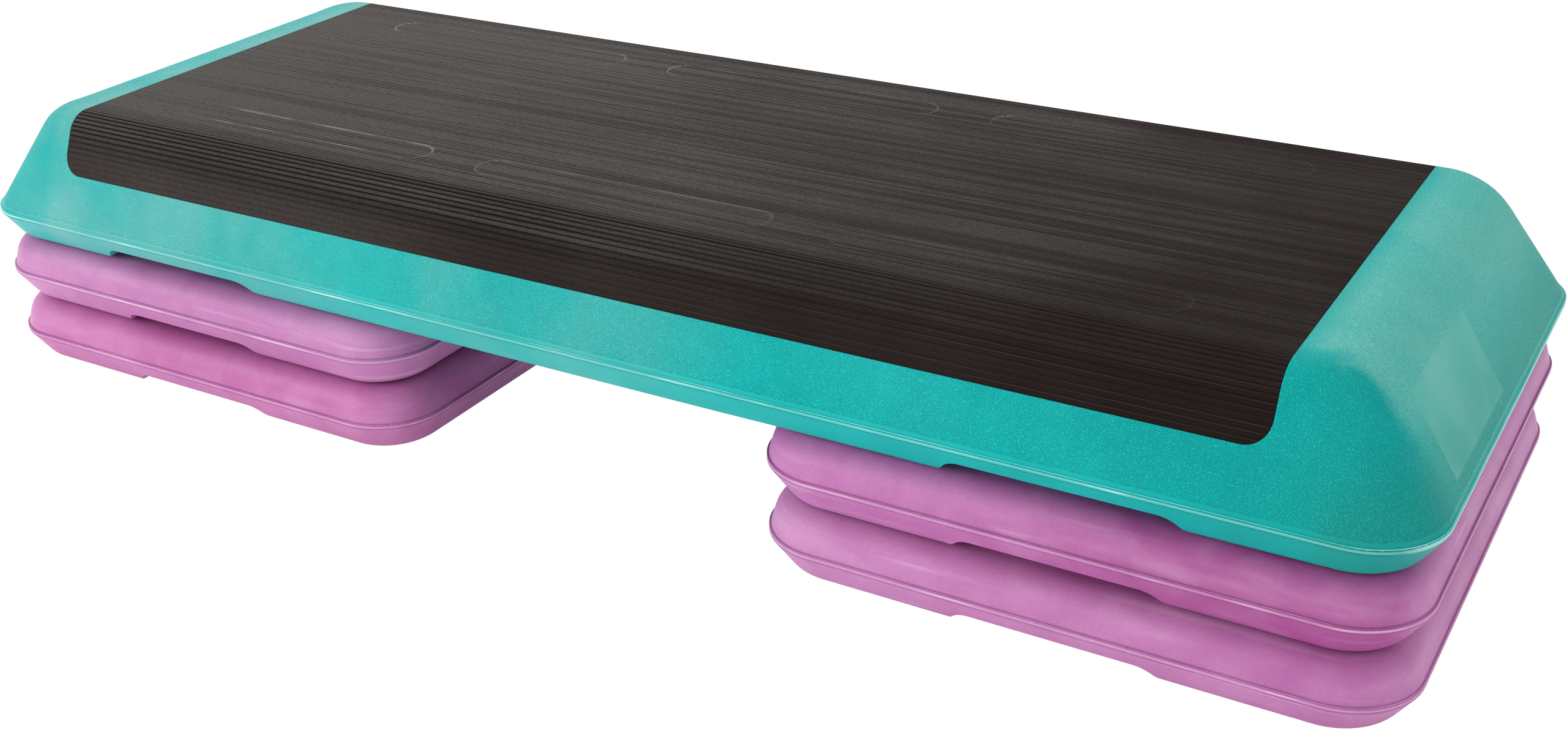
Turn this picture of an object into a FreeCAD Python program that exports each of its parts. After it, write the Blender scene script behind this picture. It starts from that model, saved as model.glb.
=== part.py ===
import FreeCAD, Part
import math
import os

from FreeCAD import Vector

# Aerobic step: a blow-moulded platform with a ribbed tread, standing on two stacks of square risers.
# Frame: origin on the floor under the middle of the platform, +X along its length, +Z up, millimetres.

# Overall sizes
PLATFORM_LENGTH = 1092.0
PLATFORM_WIDTH = 406.0
PLATFORM_HEIGHT = 101.6
RISER_LENGTH = 406.0
RISER_STEP = 50.8
RISERS_PER_STACK = 2
RISER_SETBACK = 1.5

# Moulded walls, the same on the platform and on the risers
CORNER_RADIUS = 47.0
RIM_CORNER = 38.0
BEAD_BAND = 3.5
BEAD_LEDGE = 1.2
FOOT_STAND = 1.0

# Platform: bead height above its underside, tuck of the wall below it, run of the walls above it, and the
# roundings of its top edge along the sides and across the ends
PLATFORM_BEAD = 22.0
PLATFORM_TUCK = 13.0
PLATFORM_RIM_RADIUS = 10.0
PLATFORM_END_RUN = 48.5
PLATFORM_SIDE_RUN = 33.0
PLATFORM_TOP_CORNER = 37.0
PLATFORM_SIDE_RADIUS = 20.0
PLATFORM_END_RADIUS = 50.0

# Riser: bead height above its underside, tuck of the wall below it, and its convex shoulder up to the ledge
RISER_BEAD = 24.2
RISER_TUCK = 14.0
RISER_RIM_RADIUS = 15.0
SHOULDER_RUN = 7.0
SHOULDER_RADIUS = 18.0

# Nesting: the raised seat of a riser stands in the socket under the piece above
SEAT_INSET = 38.0
SEAT_CORNER = 58.0
SEAT_TAPER = 4.0
SEAT_EDGE_RADIUS = 3.0
NEST_DEPTH = 12.7
NEST_CLEARANCE = 1.0
RIM_CLEARANCE = 0.6

# Finger gaps in the bottom rims, as high as the sockets: width across the feet of their S-shaped ends, and
# the length of each end
PLATFORM_GAP_WIDTH = 165.0
RISER_GAP_WIDTH = 150.0
GAP_RAMP = 24.0

# Tread mat: thickness, bare platform beyond its ends, height of its lower edges above the platform's
# underside, and its ribs, which stand further apart where the sheet was drawn down over the side walls
MAT_THICKNESS = 3.0
MAT_END_MARGIN = 92.0
MAT_LOWER_EDGE = 60.6
MAT_CORNER_RADIUS = 15.0
MAT_EDGE_CLEARANCE = 0.2
RIB_PITCH = 2.88
RIB_CREST = 1.6
RIB_ROOT = 0.5
RIB_HEIGHT = 0.7
WALL_STRETCH = 1.43

# Tack-offs: round-ended channels in the underside, up to the top wall, in two rows of three, with their
# marks in the tread; margins run from the mat's ends to the marks and from the platform's sides to the rows
TACKS_PER_ROW = 3
TACK_WIDTH = 26.0
TACK_SPACING = 44.0
TACK_END_MARGIN = 68.0
TACK_SIDE_MARGIN = 85.5
TACK_DRAFT = 2.5
TACK_TOP_WALL = 4.0
TACK_MARK_DEPTH = 0.5

# Push-in rubber feet
FOOT_DIAMETER = 14.0
FOOT_SEAT_DEPTH = 1.5
FOOT_STEM_DIAMETER = 6.0
FOOT_STEM_LENGTH = 9.0
FOOT_CLEARANCE = 0.2
FOOT_EDGE_RADIUS = 0.8

# Cuts run this far past the faces that they open
OVERRUN = 5.0

# Sizes and places worked out from the ones above
RISER_WIDTH = PLATFORM_WIDTH
MAT_LENGTH = PLATFORM_LENGTH - 2 * MAT_END_MARGIN
TACK_ROW = PLATFORM_WIDTH / 2.0 - TACK_SIDE_MARGIN
TACK_PITCH = (MAT_LENGTH - 2 * TACK_END_MARGIN + TACK_SPACING) / TACKS_PER_ROW
TACK_LENGTH = TACK_PITCH - TACK_SPACING
PLATFORM_BASE = RISER_STEP * RISERS_PER_STACK
STACK_X = (PLATFORM_LENGTH - RISER_LENGTH) / 2.0 - RISER_SETBACK
LEDGE_Z = RISER_STEP - RIM_CLEARANCE
SEAT_TOP_Z = RISER_STEP + NEST_DEPTH
GAP_HEIGHT = NEST_DEPTH - FOOT_STAND
RISER_UNDER_ANGLE = math.atan2(RISER_TUCK, RISER_BEAD - FOOT_STAND)


def rounded_outline(length, width, corner, z):
    """Closed wire of a rectangle with round corners, centred on the origin at height z."""
    hx = length / 2.0
    hy = width / 2.0
    k = corner * math.sqrt(0.5)
    edges = []
    for sx, sy, along_x in ((1, -1, False), (1, 1, True), (-1, 1, False), (-1, -1, True)):
        cx = sx * (hx - corner)
        cy = sy * (hy - corner)
        middle = Vector(cx + sx * k, cy + sy * k, z)
        on_end = Vector(sx * hx, cy, z)
        on_side = Vector(cx, sy * hy, z)
        first = on_end if along_x else on_side
        last = on_side if along_x else on_end
        edges.append(Part.Arc(first, middle, last).toShape())
    straight = []
    for this, following in zip(edges, edges[1:] + edges[:1]):
        straight.append(Part.makeLine(this.lastVertex().Point, following.firstVertex().Point))
    ring = [edge for pair in zip(edges, straight) for edge in pair]
    return Part.Wire(ring)


def tapered_block(lower, upper):
    """Solid between two outlines at different heights, with straight sides."""
    return Part.makeLoft([lower, upper], True, True)


def edges_at(shape, z):
    """Edges of a shape that lie flat at height z."""
    found = []
    for edge in shape.Edges:
        if abs(edge.BoundBox.ZMin - z) < 1e-4 and abs(edge.BoundBox.ZMax - z) < 1e-4:
            found.append(edge)
    return found


def moulded_base(length, width, bead_z, tuck, rim_radius):
    """Lower half of a moulding: wall tucked in under the bead, round bottom edge, and the bead band."""
    bottom = rounded_outline(length - 2 * tuck, width - 2 * tuck, RIM_CORNER, FOOT_STAND)
    bead = rounded_outline(length, width, CORNER_RADIUS, bead_z)
    block = tapered_block(bottom, bead)
    block = block.makeFillet(rim_radius, edges_at(block, FOOT_STAND))
    band = Part.Face(bead).extrude(Vector(0, 0, BEAD_BAND))
    return block.fuse(band)


def nest_block(bottom_z, top_z, datum_z, clearance):
    """Tapered square block of the nesting form; datum_z is the underside of the piece above."""
    outlines = []
    for z in (bottom_z, top_z):
        inset = SEAT_INSET + SEAT_TAPER * (z - datum_z) / NEST_DEPTH - clearance
        length = RISER_LENGTH - 2 * inset
        width = RISER_WIDTH - 2 * inset
        outlines.append(rounded_outline(length, width, SEAT_CORNER, z))
    return tapered_block(outlines[0], outlines[1])


def socket():
    """Cut for the seat of the riser below, with its ceiling at the nesting depth."""
    return nest_block(-OVERRUN, NEST_DEPTH, 0.0, NEST_CLEARANCE)


def finger_gaps(foot_width, half_width):
    """Cuts through the front and back rims: flat roof and S-shaped ends, each of two arcs."""
    foot = foot_width / 2.0
    roof = foot - GAP_RAMP
    middle_x = (foot + roof) / 2.0
    middle_z = GAP_HEIGHT / 2.0
    radius = ((GAP_RAMP / 2.0) ** 2 + middle_z ** 2) / GAP_HEIGHT
    turn = math.asin(min(1.0, GAP_RAMP / 2.0 / radius)) / 2.0
    side = radius * math.sin(turn)
    drop = radius * (1.0 - math.cos(turn))

    def upper(sign):
        start = Vector(sign * roof, 0, GAP_HEIGHT)
        through = Vector(sign * (roof + side), 0, GAP_HEIGHT - drop)
        return Part.Arc(start, through, Vector(sign * middle_x, 0, middle_z)).toShape()

    def lower(sign):
        start = Vector(sign * middle_x, 0, middle_z)
        through = Vector(sign * (foot - side), 0, drop)
        return Part.Arc(start, through, Vector(sign * foot, 0, 0)).toShape()

    below = -OVERRUN
    edges = [
        Part.makeLine(Vector(-roof, 0, GAP_HEIGHT), Vector(roof, 0, GAP_HEIGHT)),
        upper(1), lower(1),
        Part.makeLine(Vector(foot, 0, 0), Vector(foot, 0, below)),
        Part.makeLine(Vector(foot, 0, below), Vector(-foot, 0, below)),
        Part.makeLine(Vector(-foot, 0, below), Vector(-foot, 0, 0)),
        lower(-1), upper(-1),
    ]
    face = Part.Face(Part.Wire(Part.__sortEdges__(edges)))
    depth = SEAT_INSET + SEAT_TAPER + 2 * OVERRUN
    prism = face.extrude(Vector(0, depth, 0))
    front = moved(prism, 0, -half_width - OVERRUN, FOOT_STAND)
    back = moved(prism, 0, half_width + OVERRUN - depth, FOOT_STAND)
    return [front, back]


def foot_places():
    """Foot centres round one socket: the middle of the rim along each diagonal."""
    rounding = RISER_RIM_RADIUS * math.tan(math.pi / 4.0 - RISER_UNDER_ANGLE / 2.0)
    rim_half = RISER_WIDTH / 2.0 - RISER_TUCK - rounding
    rim_corner = RIM_CORNER - rounding
    socket_half = RISER_WIDTH / 2.0 - SEAT_INSET + NEST_CLEARANCE
    outer = (rim_half - rim_corner) * math.sqrt(2.0) + rim_corner
    inner = (socket_half - SEAT_CORNER) * math.sqrt(2.0) + SEAT_CORNER
    from_edge = RISER_WIDTH / 2.0 - (outer + inner) / 2.0 * math.sqrt(0.5)
    px = RISER_LENGTH / 2.0 - from_edge
    py = RISER_WIDTH / 2.0 - from_edge
    return [
        ("front_left", -px, -py),
        ("front_right", px, -py),
        ("back_left", -px, py),
        ("back_right", px, py),
    ]


def foot():
    """Rubber button with a stem; its head stands proud of the rim by the foot stand."""
    seat_z = FOOT_STAND + FOOT_SEAT_DEPTH
    head = Part.makeCylinder(FOOT_DIAMETER / 2.0, seat_z)
    head = head.makeFillet(FOOT_EDGE_RADIUS, edges_at(head, 0.0))
    stem = Part.makeCylinder(FOOT_STEM_DIAMETER / 2.0, FOOT_STEM_LENGTH, Vector(0, 0, seat_z))
    return head.fuse(stem).removeSplitter()


def foot_hole():
    """Counterbore for a foot's head and the blind hole for its stem."""
    seat_z = FOOT_STAND + FOOT_SEAT_DEPTH
    head = Part.makeCylinder(FOOT_DIAMETER / 2.0 + FOOT_CLEARANCE, seat_z + OVERRUN, Vector(0, 0, -OVERRUN))
    depth = FOOT_STEM_LENGTH + 2 * FOOT_CLEARANCE
    stem = Part.makeCylinder(FOOT_STEM_DIAMETER / 2.0 + FOOT_CLEARANCE, depth, Vector(0, 0, seat_z))
    return head.fuse(stem)


def moved(shape, x, y, z):
    """Copy of a shape moved by x, y, z."""
    copy = shape.copy()
    copy.translate(Vector(x, y, z))
    return copy


def riser():
    """One riser with its underside at z = 0."""
    body = moulded_base(RISER_LENGTH, RISER_WIDTH, RISER_BEAD, RISER_TUCK, RISER_RIM_RADIUS)
    crease_z = RISER_BEAD + BEAD_BAND
    outlines = []
    for inset, z in ((BEAD_LEDGE, crease_z), (BEAD_LEDGE + SHOULDER_RUN, LEDGE_Z)):
        length = RISER_LENGTH - 2 * inset
        width = RISER_WIDTH - 2 * inset
        outlines.append(rounded_outline(length, width, CORNER_RADIUS - inset, z))
    shoulder = tapered_block(outlines[0], outlines[1])
    shoulder = shoulder.makeFillet(SHOULDER_RADIUS, edges_at(shoulder, LEDGE_Z))
    seat = nest_block(crease_z, SEAT_TOP_Z, RISER_STEP, 0.0)
    seat = seat.makeFillet(SEAT_EDGE_RADIUS, edges_at(seat, SEAT_TOP_Z))
    body = body.fuse([shoulder, seat])
    cuts = [socket()] + finger_gaps(RISER_GAP_WIDTH, RISER_WIDTH / 2.0)
    cuts += [moved(foot_hole(), x, y, 0) for _, x, y in foot_places()]
    return body.cut(cuts).removeSplitter()


def stadium(length, width, z):
    """Closed wire with straight sides along X and half-round ends, at height z."""
    r = width / 2.0
    h = length / 2.0 - r
    return Part.Wire([
        Part.makeLine(Vector(-h, -r, z), Vector(h, -r, z)),
        Part.Arc(Vector(h, -r, z), Vector(h + r, 0, z), Vector(h, r, z)).toShape(),
        Part.makeLine(Vector(h, r, z), Vector(-h, r, z)),
        Part.Arc(Vector(-h, r, z), Vector(-h - r, 0, z), Vector(-h, -r, z)).toShape(),
    ])


def tack_places():
    """Centres of the tack-offs, row by row."""
    first = -(TACKS_PER_ROW - 1) / 2.0
    return [((first + i) * TACK_PITCH, row * TACK_ROW) for row in (-1, 1) for i in range(TACKS_PER_ROW)]


def tack_channel():
    """One drafted channel from below the underside up to the top wall."""
    roof_z = PLATFORM_HEIGHT - MAT_THICKNESS - TACK_TOP_WALL
    spread = (roof_z + OVERRUN) * math.tan(math.radians(TACK_DRAFT))
    mouth = stadium(TACK_LENGTH + 2 * spread, TACK_WIDTH + 2 * spread, -OVERRUN)
    return tapered_block(mouth, stadium(TACK_LENGTH, TACK_WIDTH, roof_z))


def side_profile(depth):
    """Rounding along one long side, sunk by depth: its centre, radius and the lean of the wall below it."""
    rise = PLATFORM_HEIGHT - PLATFORM_BEAD - BEAD_BAND
    lean = math.atan2(PLATFORM_SIDE_RUN, rise)
    edge_y = PLATFORM_WIDTH / 2.0 - BEAD_LEDGE - PLATFORM_SIDE_RUN
    centre_y = edge_y - PLATFORM_SIDE_RADIUS * math.tan(math.pi / 4.0 - lean / 2.0)
    centre_z = PLATFORM_HEIGHT - PLATFORM_SIDE_RADIUS
    radius = PLATFORM_SIDE_RADIUS - depth
    return centre_y, centre_z, radius, lean


def mat_under_face():
    """Section across the space over the mat's underside, symmetrical, closed well above the platform."""
    centre_y, centre_z, radius, lean = side_profile(MAT_THICKNESS)
    high = PLATFORM_HEIGHT + PLATFORM_SIDE_RADIUS
    wide = PLATFORM_WIDTH
    bisector = (math.pi / 2.0 + lean) / 2.0
    drop = centre_z + radius * math.sin(lean) - MAT_LOWER_EDGE + OVERRUN

    def at(sign, angle):
        return Vector(0, sign * (centre_y + radius * math.cos(angle)), centre_z + radius * math.sin(angle))

    def low(sign):
        return at(sign, lean) + Vector(0, sign * drop * math.tan(lean), -drop)

    edges = [Part.makeLine(at(-1, math.pi / 2.0), at(1, math.pi / 2.0))]
    for sign in (1, -1):
        edges.append(Part.Arc(at(sign, math.pi / 2.0), at(sign, bisector), at(sign, lean)).toShape())
        edges.append(Part.makeLine(at(sign, lean), low(sign)))
        edges.append(Part.makeLine(low(sign), Vector(0, sign * wide, low(sign).z)))
        edges.append(Part.makeLine(Vector(0, sign * wide, low(sign).z), Vector(0, sign * wide, high)))
    edges.append(Part.makeLine(Vector(0, wide, high), Vector(0, -wide, high)))
    return Part.Face(Part.Wire(Part.__sortEdges__(edges)))


def mat_crest_face():
    """Section under the ribbed upper face: one rib per pitch of the flat sheet, from the middle outwards."""
    centre_y, centre_z, radius, lean = side_profile(0.0)
    arc_length = radius * (math.pi / 2.0 - lean)
    wall_length = (centre_z + radius * math.sin(lean) - MAT_LOWER_EDGE + OVERRUN) / math.cos(lean)
    ribs = int((centre_y + arc_length + wall_length / WALL_STRETCH) / RIB_PITCH)

    def surface(s, depth):
        if s <= centre_y:
            return s, PLATFORM_HEIGHT - depth
        angle = max(lean, math.pi / 2.0 - (s - centre_y) / radius)
        along = max(0.0, s - centre_y - arc_length) * WALL_STRETCH
        y = centre_y + (radius - depth) * math.cos(angle) + along * math.sin(lean)
        z = centre_z + (radius - depth) * math.sin(angle) - along * math.cos(lean)
        return y, z

    flank = (RIB_PITCH - RIB_CREST - RIB_ROOT) / 2.0
    half = []
    for i in range(ribs):
        start = i * RIB_PITCH
        crest_end = start + RIB_CREST / 2.0
        root_start = crest_end + flank
        root_end = root_start + RIB_ROOT
        half.append(surface(crest_end, 0.0))
        half.append(surface(root_start, RIB_HEIGHT))
        half.append(surface(root_end, RIB_HEIGHT))
        half.append(surface(start + RIB_PITCH - RIB_CREST / 2.0, 0.0))
    inner_z = half[-1][1]
    right = [Vector(0, y, z) for y, z in half]
    left = [Vector(0, -y, z) for y, z in reversed(half)]
    floor = [Vector(0, 0, inner_z)]
    return Part.Face(Part.makePolygon(left + right + floor + left[:1]))


def mat_window(clearance):
    """Block across the platform with the mat's outline as seen from the side: round lower corners."""
    x = MAT_LENGTH / 2.0 - clearance
    low = MAT_LOWER_EDGE + clearance
    high = PLATFORM_HEIGHT + OVERRUN
    r = MAT_CORNER_RADIUS
    k = r * (1.0 - math.sqrt(0.5))
    wire = Part.Wire([
        Part.makeLine(Vector(-x + r, 0, low), Vector(x - r, 0, low)),
        Part.Arc(Vector(x - r, 0, low), Vector(x - k, 0, low + k), Vector(x, 0, low + r)).toShape(),
        Part.makeLine(Vector(x, 0, low + r), Vector(x, 0, high)),
        Part.makeLine(Vector(x, 0, high), Vector(-x, 0, high)),
        Part.makeLine(Vector(-x, 0, high), Vector(-x, 0, low + r)),
        Part.Arc(Vector(-x, 0, low + r), Vector(-x + k, 0, low + k), Vector(-x + r, 0, low)).toShape(),
    ])
    block = Part.Face(wire).extrude(Vector(0, 2 * PLATFORM_WIDTH, 0))
    block.translate(Vector(0, -PLATFORM_WIDTH, 0))
    return block


def along_mat(face):
    """A section of the mat drawn out along the platform, a little longer than the mat."""
    solid = face.extrude(Vector(MAT_LENGTH + 2 * OVERRUN, 0, 0))
    solid.translate(Vector(-MAT_LENGTH / 2.0 - OVERRUN, 0, 0))
    return solid


def tread_mat():
    """Ribbed rubber sheet over the top and both long sides, with the marks of the tack-offs."""
    under = along_mat(mat_under_face())
    sheet = along_mat(mat_crest_face()).common(under).common(mat_window(MAT_EDGE_CLEARANCE))
    mark_z = PLATFORM_HEIGHT - TACK_MARK_DEPTH
    mark = Part.Face(stadium(TACK_LENGTH, TACK_WIDTH, mark_z)).extrude(Vector(0, 0, OVERRUN))
    return sheet.cut([moved(mark, x, y, 0) for x, y in tack_places()])


def rounded_hood(hood):
    """The hood with its top edge rounded: the radius changes round each corner, from side to end."""
    document = FreeCAD.newDocument()
    block = document.addObject("Part::Feature", "hood")
    block.Shape = hood
    rounding = document.addObject("Part::Fillet", "rounding")
    rounding.Base = block
    top = edges_at(hood, PLATFORM_HEIGHT)
    side_y = max(edge.BoundBox.YMax for edge in top)

    def radius(vertex):
        on_side = abs(abs(vertex.Y) - side_y) < 1e-4
        return PLATFORM_SIDE_RADIUS if on_side else PLATFORM_END_RADIUS

    chosen = []
    for number, edge in enumerate(hood.Edges, 1):
        if any(edge.isSame(other) for other in top):
            chosen.append((number, radius(edge.firstVertex()), radius(edge.lastVertex())))
    rounding.Edges = chosen
    document.recompute()
    return rounding.Shape.Solids[0]


def platform_shell():
    """The platform's moulding with its underside at z = 0."""
    body = moulded_base(PLATFORM_LENGTH, PLATFORM_WIDTH, PLATFORM_BEAD, PLATFORM_TUCK, PLATFORM_RIM_RADIUS)
    crease = rounded_outline(PLATFORM_LENGTH - 2 * BEAD_LEDGE, PLATFORM_WIDTH - 2 * BEAD_LEDGE,
                             CORNER_RADIUS - BEAD_LEDGE, PLATFORM_BEAD + BEAD_BAND)
    top = rounded_outline(PLATFORM_LENGTH - 2 * (BEAD_LEDGE + PLATFORM_END_RUN),
                          PLATFORM_WIDTH - 2 * (BEAD_LEDGE + PLATFORM_SIDE_RUN),
                          PLATFORM_TOP_CORNER, PLATFORM_HEIGHT)
    body = body.fuse(rounded_hood(tapered_block(crease, top)))
    recess = along_mat(mat_under_face()).common(mat_window(0.0))
    cuts = [recess]
    gaps = finger_gaps(PLATFORM_GAP_WIDTH, PLATFORM_WIDTH / 2.0)
    for x in (-STACK_X, STACK_X):
        cuts.append(moved(socket(), x, 0, 0))
        cuts += [moved(gap, x, 0, 0) for gap in gaps]
        cuts += [moved(foot_hole(), x + fx, fy, 0) for _, fx, fy in foot_places()]
    cuts += [moved(tack_channel(), x, y, 0) for x, y in tack_places()]
    return body.cut(cuts).removeSplitter()


def export(shape, name, x, z):
    """Write one piece, moved to its place, to its own file."""
    moved(shape, x, 0, z).exportStep("parts/" + name + ".step")


os.makedirs("parts", exist_ok=True)

export(platform_shell(), "platform_shell", 0, PLATFORM_BASE)
export(tread_mat(), "tread_mat", 0, PLATFORM_BASE)

one_riser = riser()
one_foot = foot()
for side, stack_x in (("left", -STACK_X), ("right", STACK_X)):
    for place, fx, fy in foot_places():
        export(moved(one_foot, fx, fy, 0), "platform_foot_" + side + "_" + place, stack_x, PLATFORM_BASE)
    for level, height in (("lower", 0.0), ("upper", RISER_STEP)):
        name = "riser_" + side + "_" + level
        export(one_riser, name, stack_x, height)
        for place, fx, fy in foot_places():
            export(moved(one_foot, fx, fy, 0), name + "_foot_" + place, stack_x, height)
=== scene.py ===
import math

import bmesh
import bpy
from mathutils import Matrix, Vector


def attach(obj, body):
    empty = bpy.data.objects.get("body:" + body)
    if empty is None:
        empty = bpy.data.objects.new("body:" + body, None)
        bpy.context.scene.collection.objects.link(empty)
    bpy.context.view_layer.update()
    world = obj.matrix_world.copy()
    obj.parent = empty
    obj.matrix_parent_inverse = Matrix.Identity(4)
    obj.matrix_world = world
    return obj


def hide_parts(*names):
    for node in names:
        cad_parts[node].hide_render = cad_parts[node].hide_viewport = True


# Aerobic step in metres: origin on the floor under the middle of the platform, +X along it, front at -Y.
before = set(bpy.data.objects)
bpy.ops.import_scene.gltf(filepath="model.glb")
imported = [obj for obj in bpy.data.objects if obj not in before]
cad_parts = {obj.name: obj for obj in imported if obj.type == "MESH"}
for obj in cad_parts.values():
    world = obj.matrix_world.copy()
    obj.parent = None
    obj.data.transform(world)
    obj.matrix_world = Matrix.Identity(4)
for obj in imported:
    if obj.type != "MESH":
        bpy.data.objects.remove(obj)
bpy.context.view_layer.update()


# Risers
# Square blow-moulded blocks of purple HDPE, two in each stack, each nesting its raised seat in the one above.
# The skin is satin and a little cloudy, with pale streaks rubbed into the shoulders.

RISER_STEP = 0.0508
RISER_HALF = 0.203
RISER_BASES = {"left_lower": 0.0, "left_upper": RISER_STEP, "right_lower": 0.0, "right_upper": RISER_STEP}
STACK_X = 0.3415

# Heights above a riser's underside: the bead's lower edge, and the part of the shoulder that gets rubbed
RISER_BEAD = 0.0242
RISER_SHOULDER = (0.0307, 0.0462)
SHOULDER_SOFT = 0.006

# Height and swell of a bead, its pale line above its lower edge, which is wear with a painted highlight, and
# the painted shade of the crease about its upper edge
BEAD_BAND = 0.0035
BEAD_SWELL = 0.0009
RISER_LINE = (0.0014, 0.0022)
LINE_SOFT = 0.0006
RISER_CREASE = (-0.0002, 0.0006)
CREASE_SOFT = 0.0005

# Deep and pale colour of each riser, no two of which match
RISER_COLOURS = {
    "left_lower": ((0.395, 0.098, 0.290, 1.0), (0.490, 0.160, 0.375, 1.0)),
    "left_upper": ((0.400, 0.138, 0.335, 1.0), (0.480, 0.195, 0.405, 1.0)),
    "right_lower": ((0.360, 0.096, 0.292, 1.0), (0.500, 0.200, 0.425, 1.0)),
    "right_upper": ((0.324, 0.064, 0.236, 1.0), (0.435, 0.142, 0.362, 1.0)),
}
# Painted light and shade along each riser, as shares of the pale colour at its left end, past its lit run and
# on its right end; length of that run
RISER_PAINTED_LIGHT = {
    "left_lower": (0.45, 0.40, 0.00, 0.30),
    "left_upper": (0.30, 0.30, 0.00, 0.30),
    "right_lower": (0.90, 0.35, 0.55, 0.16),
    "right_upper": (0.95, 0.00, 0.75, 0.38),
}
RISER_RUBBED_AND_HIGHLIGHT = (0.72, 0.46, 0.67, 1.0)
RISER_GRIME_AND_SHADE = (0.16, 0.035, 0.12, 1.0)

# Along x from a riser's right end: where the painted light and shade of that end sets in, and where the
# painted shade of its crease grows fainter
END_PAINTED_LIGHT = (-0.020, -0.002)
END_CREASE = (-0.030, -0.005)

# Shares of the rubbed colour and of grime in the skin, at most; the crease shares are painted shade, and the
# nick shares carry a painted highlight on the bead
RISER_MOTTLED = 0.09
RISER_HAZED = 0.15
RISER_SMEARED = 0.32
RISER_SPECKED = 0.10
CREASE_SHARES = (0.28, 0.12)
NICK_SHARES = (0.26, 0.70)
RISER_ROUGHNESS = (0.40, 0.50)
RISER_SPECULAR = 0.3
RISER_WAVES = 0.0012
RISER_SKIN = 0.00006


def feed(tree, socket, value):
    """Link an input to another node's output, or set its value."""
    if isinstance(value, bpy.types.NodeSocket):
        tree.links.new(value, socket)
    else:
        socket.default_value = value


def reckon(tree, operation, first, second=0.0):
    """Arithmetic on one or two numbers."""
    made = tree.nodes.new("ShaderNodeMath")
    made.operation = operation
    feed(tree, made.inputs[0], first)
    feed(tree, made.inputs[1], second)
    return made.outputs[0]


def plus(tree, first, second):
    """Sum of two numbers."""
    return reckon(tree, "ADD", first, second)


def less(tree, first, second):
    """First number less the second."""
    return reckon(tree, "SUBTRACT", first, second)


def times(tree, first, second):
    """Product of two numbers."""
    return reckon(tree, "MULTIPLY", first, second)


def most(tree, first, second):
    """Larger of two numbers."""
    return reckon(tree, "MAXIMUM", first, second)


def ramp(tree, value, low, high, start=0.0, end=1.0):
    """Smooth step of a value, from start at low to end at high."""
    made = tree.nodes.new("ShaderNodeMapRange")
    made.interpolation_type = "SMOOTHSTEP"
    for socket, number in zip(made.inputs, (value, low, high, start, end)):
        feed(tree, socket, number)
    return made.outputs[0]


def band(tree, value, low, high, soft):
    """One between low and high, falling to zero over soft outside them."""
    rise = ramp(tree, value, low - soft, low)
    fall = ramp(tree, value, high, high + soft, 1.0, 0.0)
    return times(tree, rise, fall)


def cloud(tree, place, scale=1.0, detail=2.0, stretch=(1.0, 1.0, 1.0), distortion=0.0):
    """Noise in the piece's own space from 0 to 1; a small stretch draws it out along that axis."""
    turned = tree.nodes.new("ShaderNodeMapping")
    feed(tree, turned.inputs["Vector"], place)
    turned.inputs["Scale"].default_value = stretch
    noise = tree.nodes.new("ShaderNodeTexNoise")
    feed(tree, noise.inputs["Vector"], turned.outputs[0])
    noise.inputs["Scale"].default_value = scale
    noise.inputs["Detail"].default_value = detail
    noise.inputs["Distortion"].default_value = distortion
    return noise.outputs["Fac"]


def tint(tree, share, first, second):
    """Colour between two colours by a share."""
    made = tree.nodes.new("ShaderNodeMix")
    made.data_type = "RGBA"
    feed(tree, made.inputs[0], share)
    feed(tree, made.inputs[6], first)
    feed(tree, made.inputs[7], second)
    return made.outputs[2]


def relief(tree, height, distance, under=None):
    """Bump of the given depth in metres, on top of another bump."""
    made = tree.nodes.new("ShaderNodeBump")
    made.inputs["Distance"].default_value = distance
    feed(tree, made.inputs["Height"], height)
    if under is not None:
        feed(tree, made.inputs["Normal"], under)
    return made.outputs[0]


def new_material(name):
    """Empty principled material: its node tree, its shader, and the piece's own coordinates."""
    material = bpy.data.materials.new(name)
    material.use_nodes = True
    tree = material.node_tree
    shader = tree.nodes["Principled BSDF"]
    place = tree.nodes.new("ShaderNodeTexCoord").outputs["Object"]
    return material, tree, shader, place


def axes_of(tree, place):
    """The three coordinates of a place."""
    parts = tree.nodes.new("ShaderNodeSeparateXYZ")
    feed(tree, parts.inputs[0], place)
    return parts.outputs


def bead_profile(tree, height, low):
    """Half-round swell across a bead band that starts at height low: 1 in its middle, 0 at its edges."""
    half = BEAD_BAND / 2.0
    across = reckon(tree, "DIVIDE", less(tree, height, low + half), half)
    return most(tree, less(tree, 1.0, times(tree, across, across)), 0.0)


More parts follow.
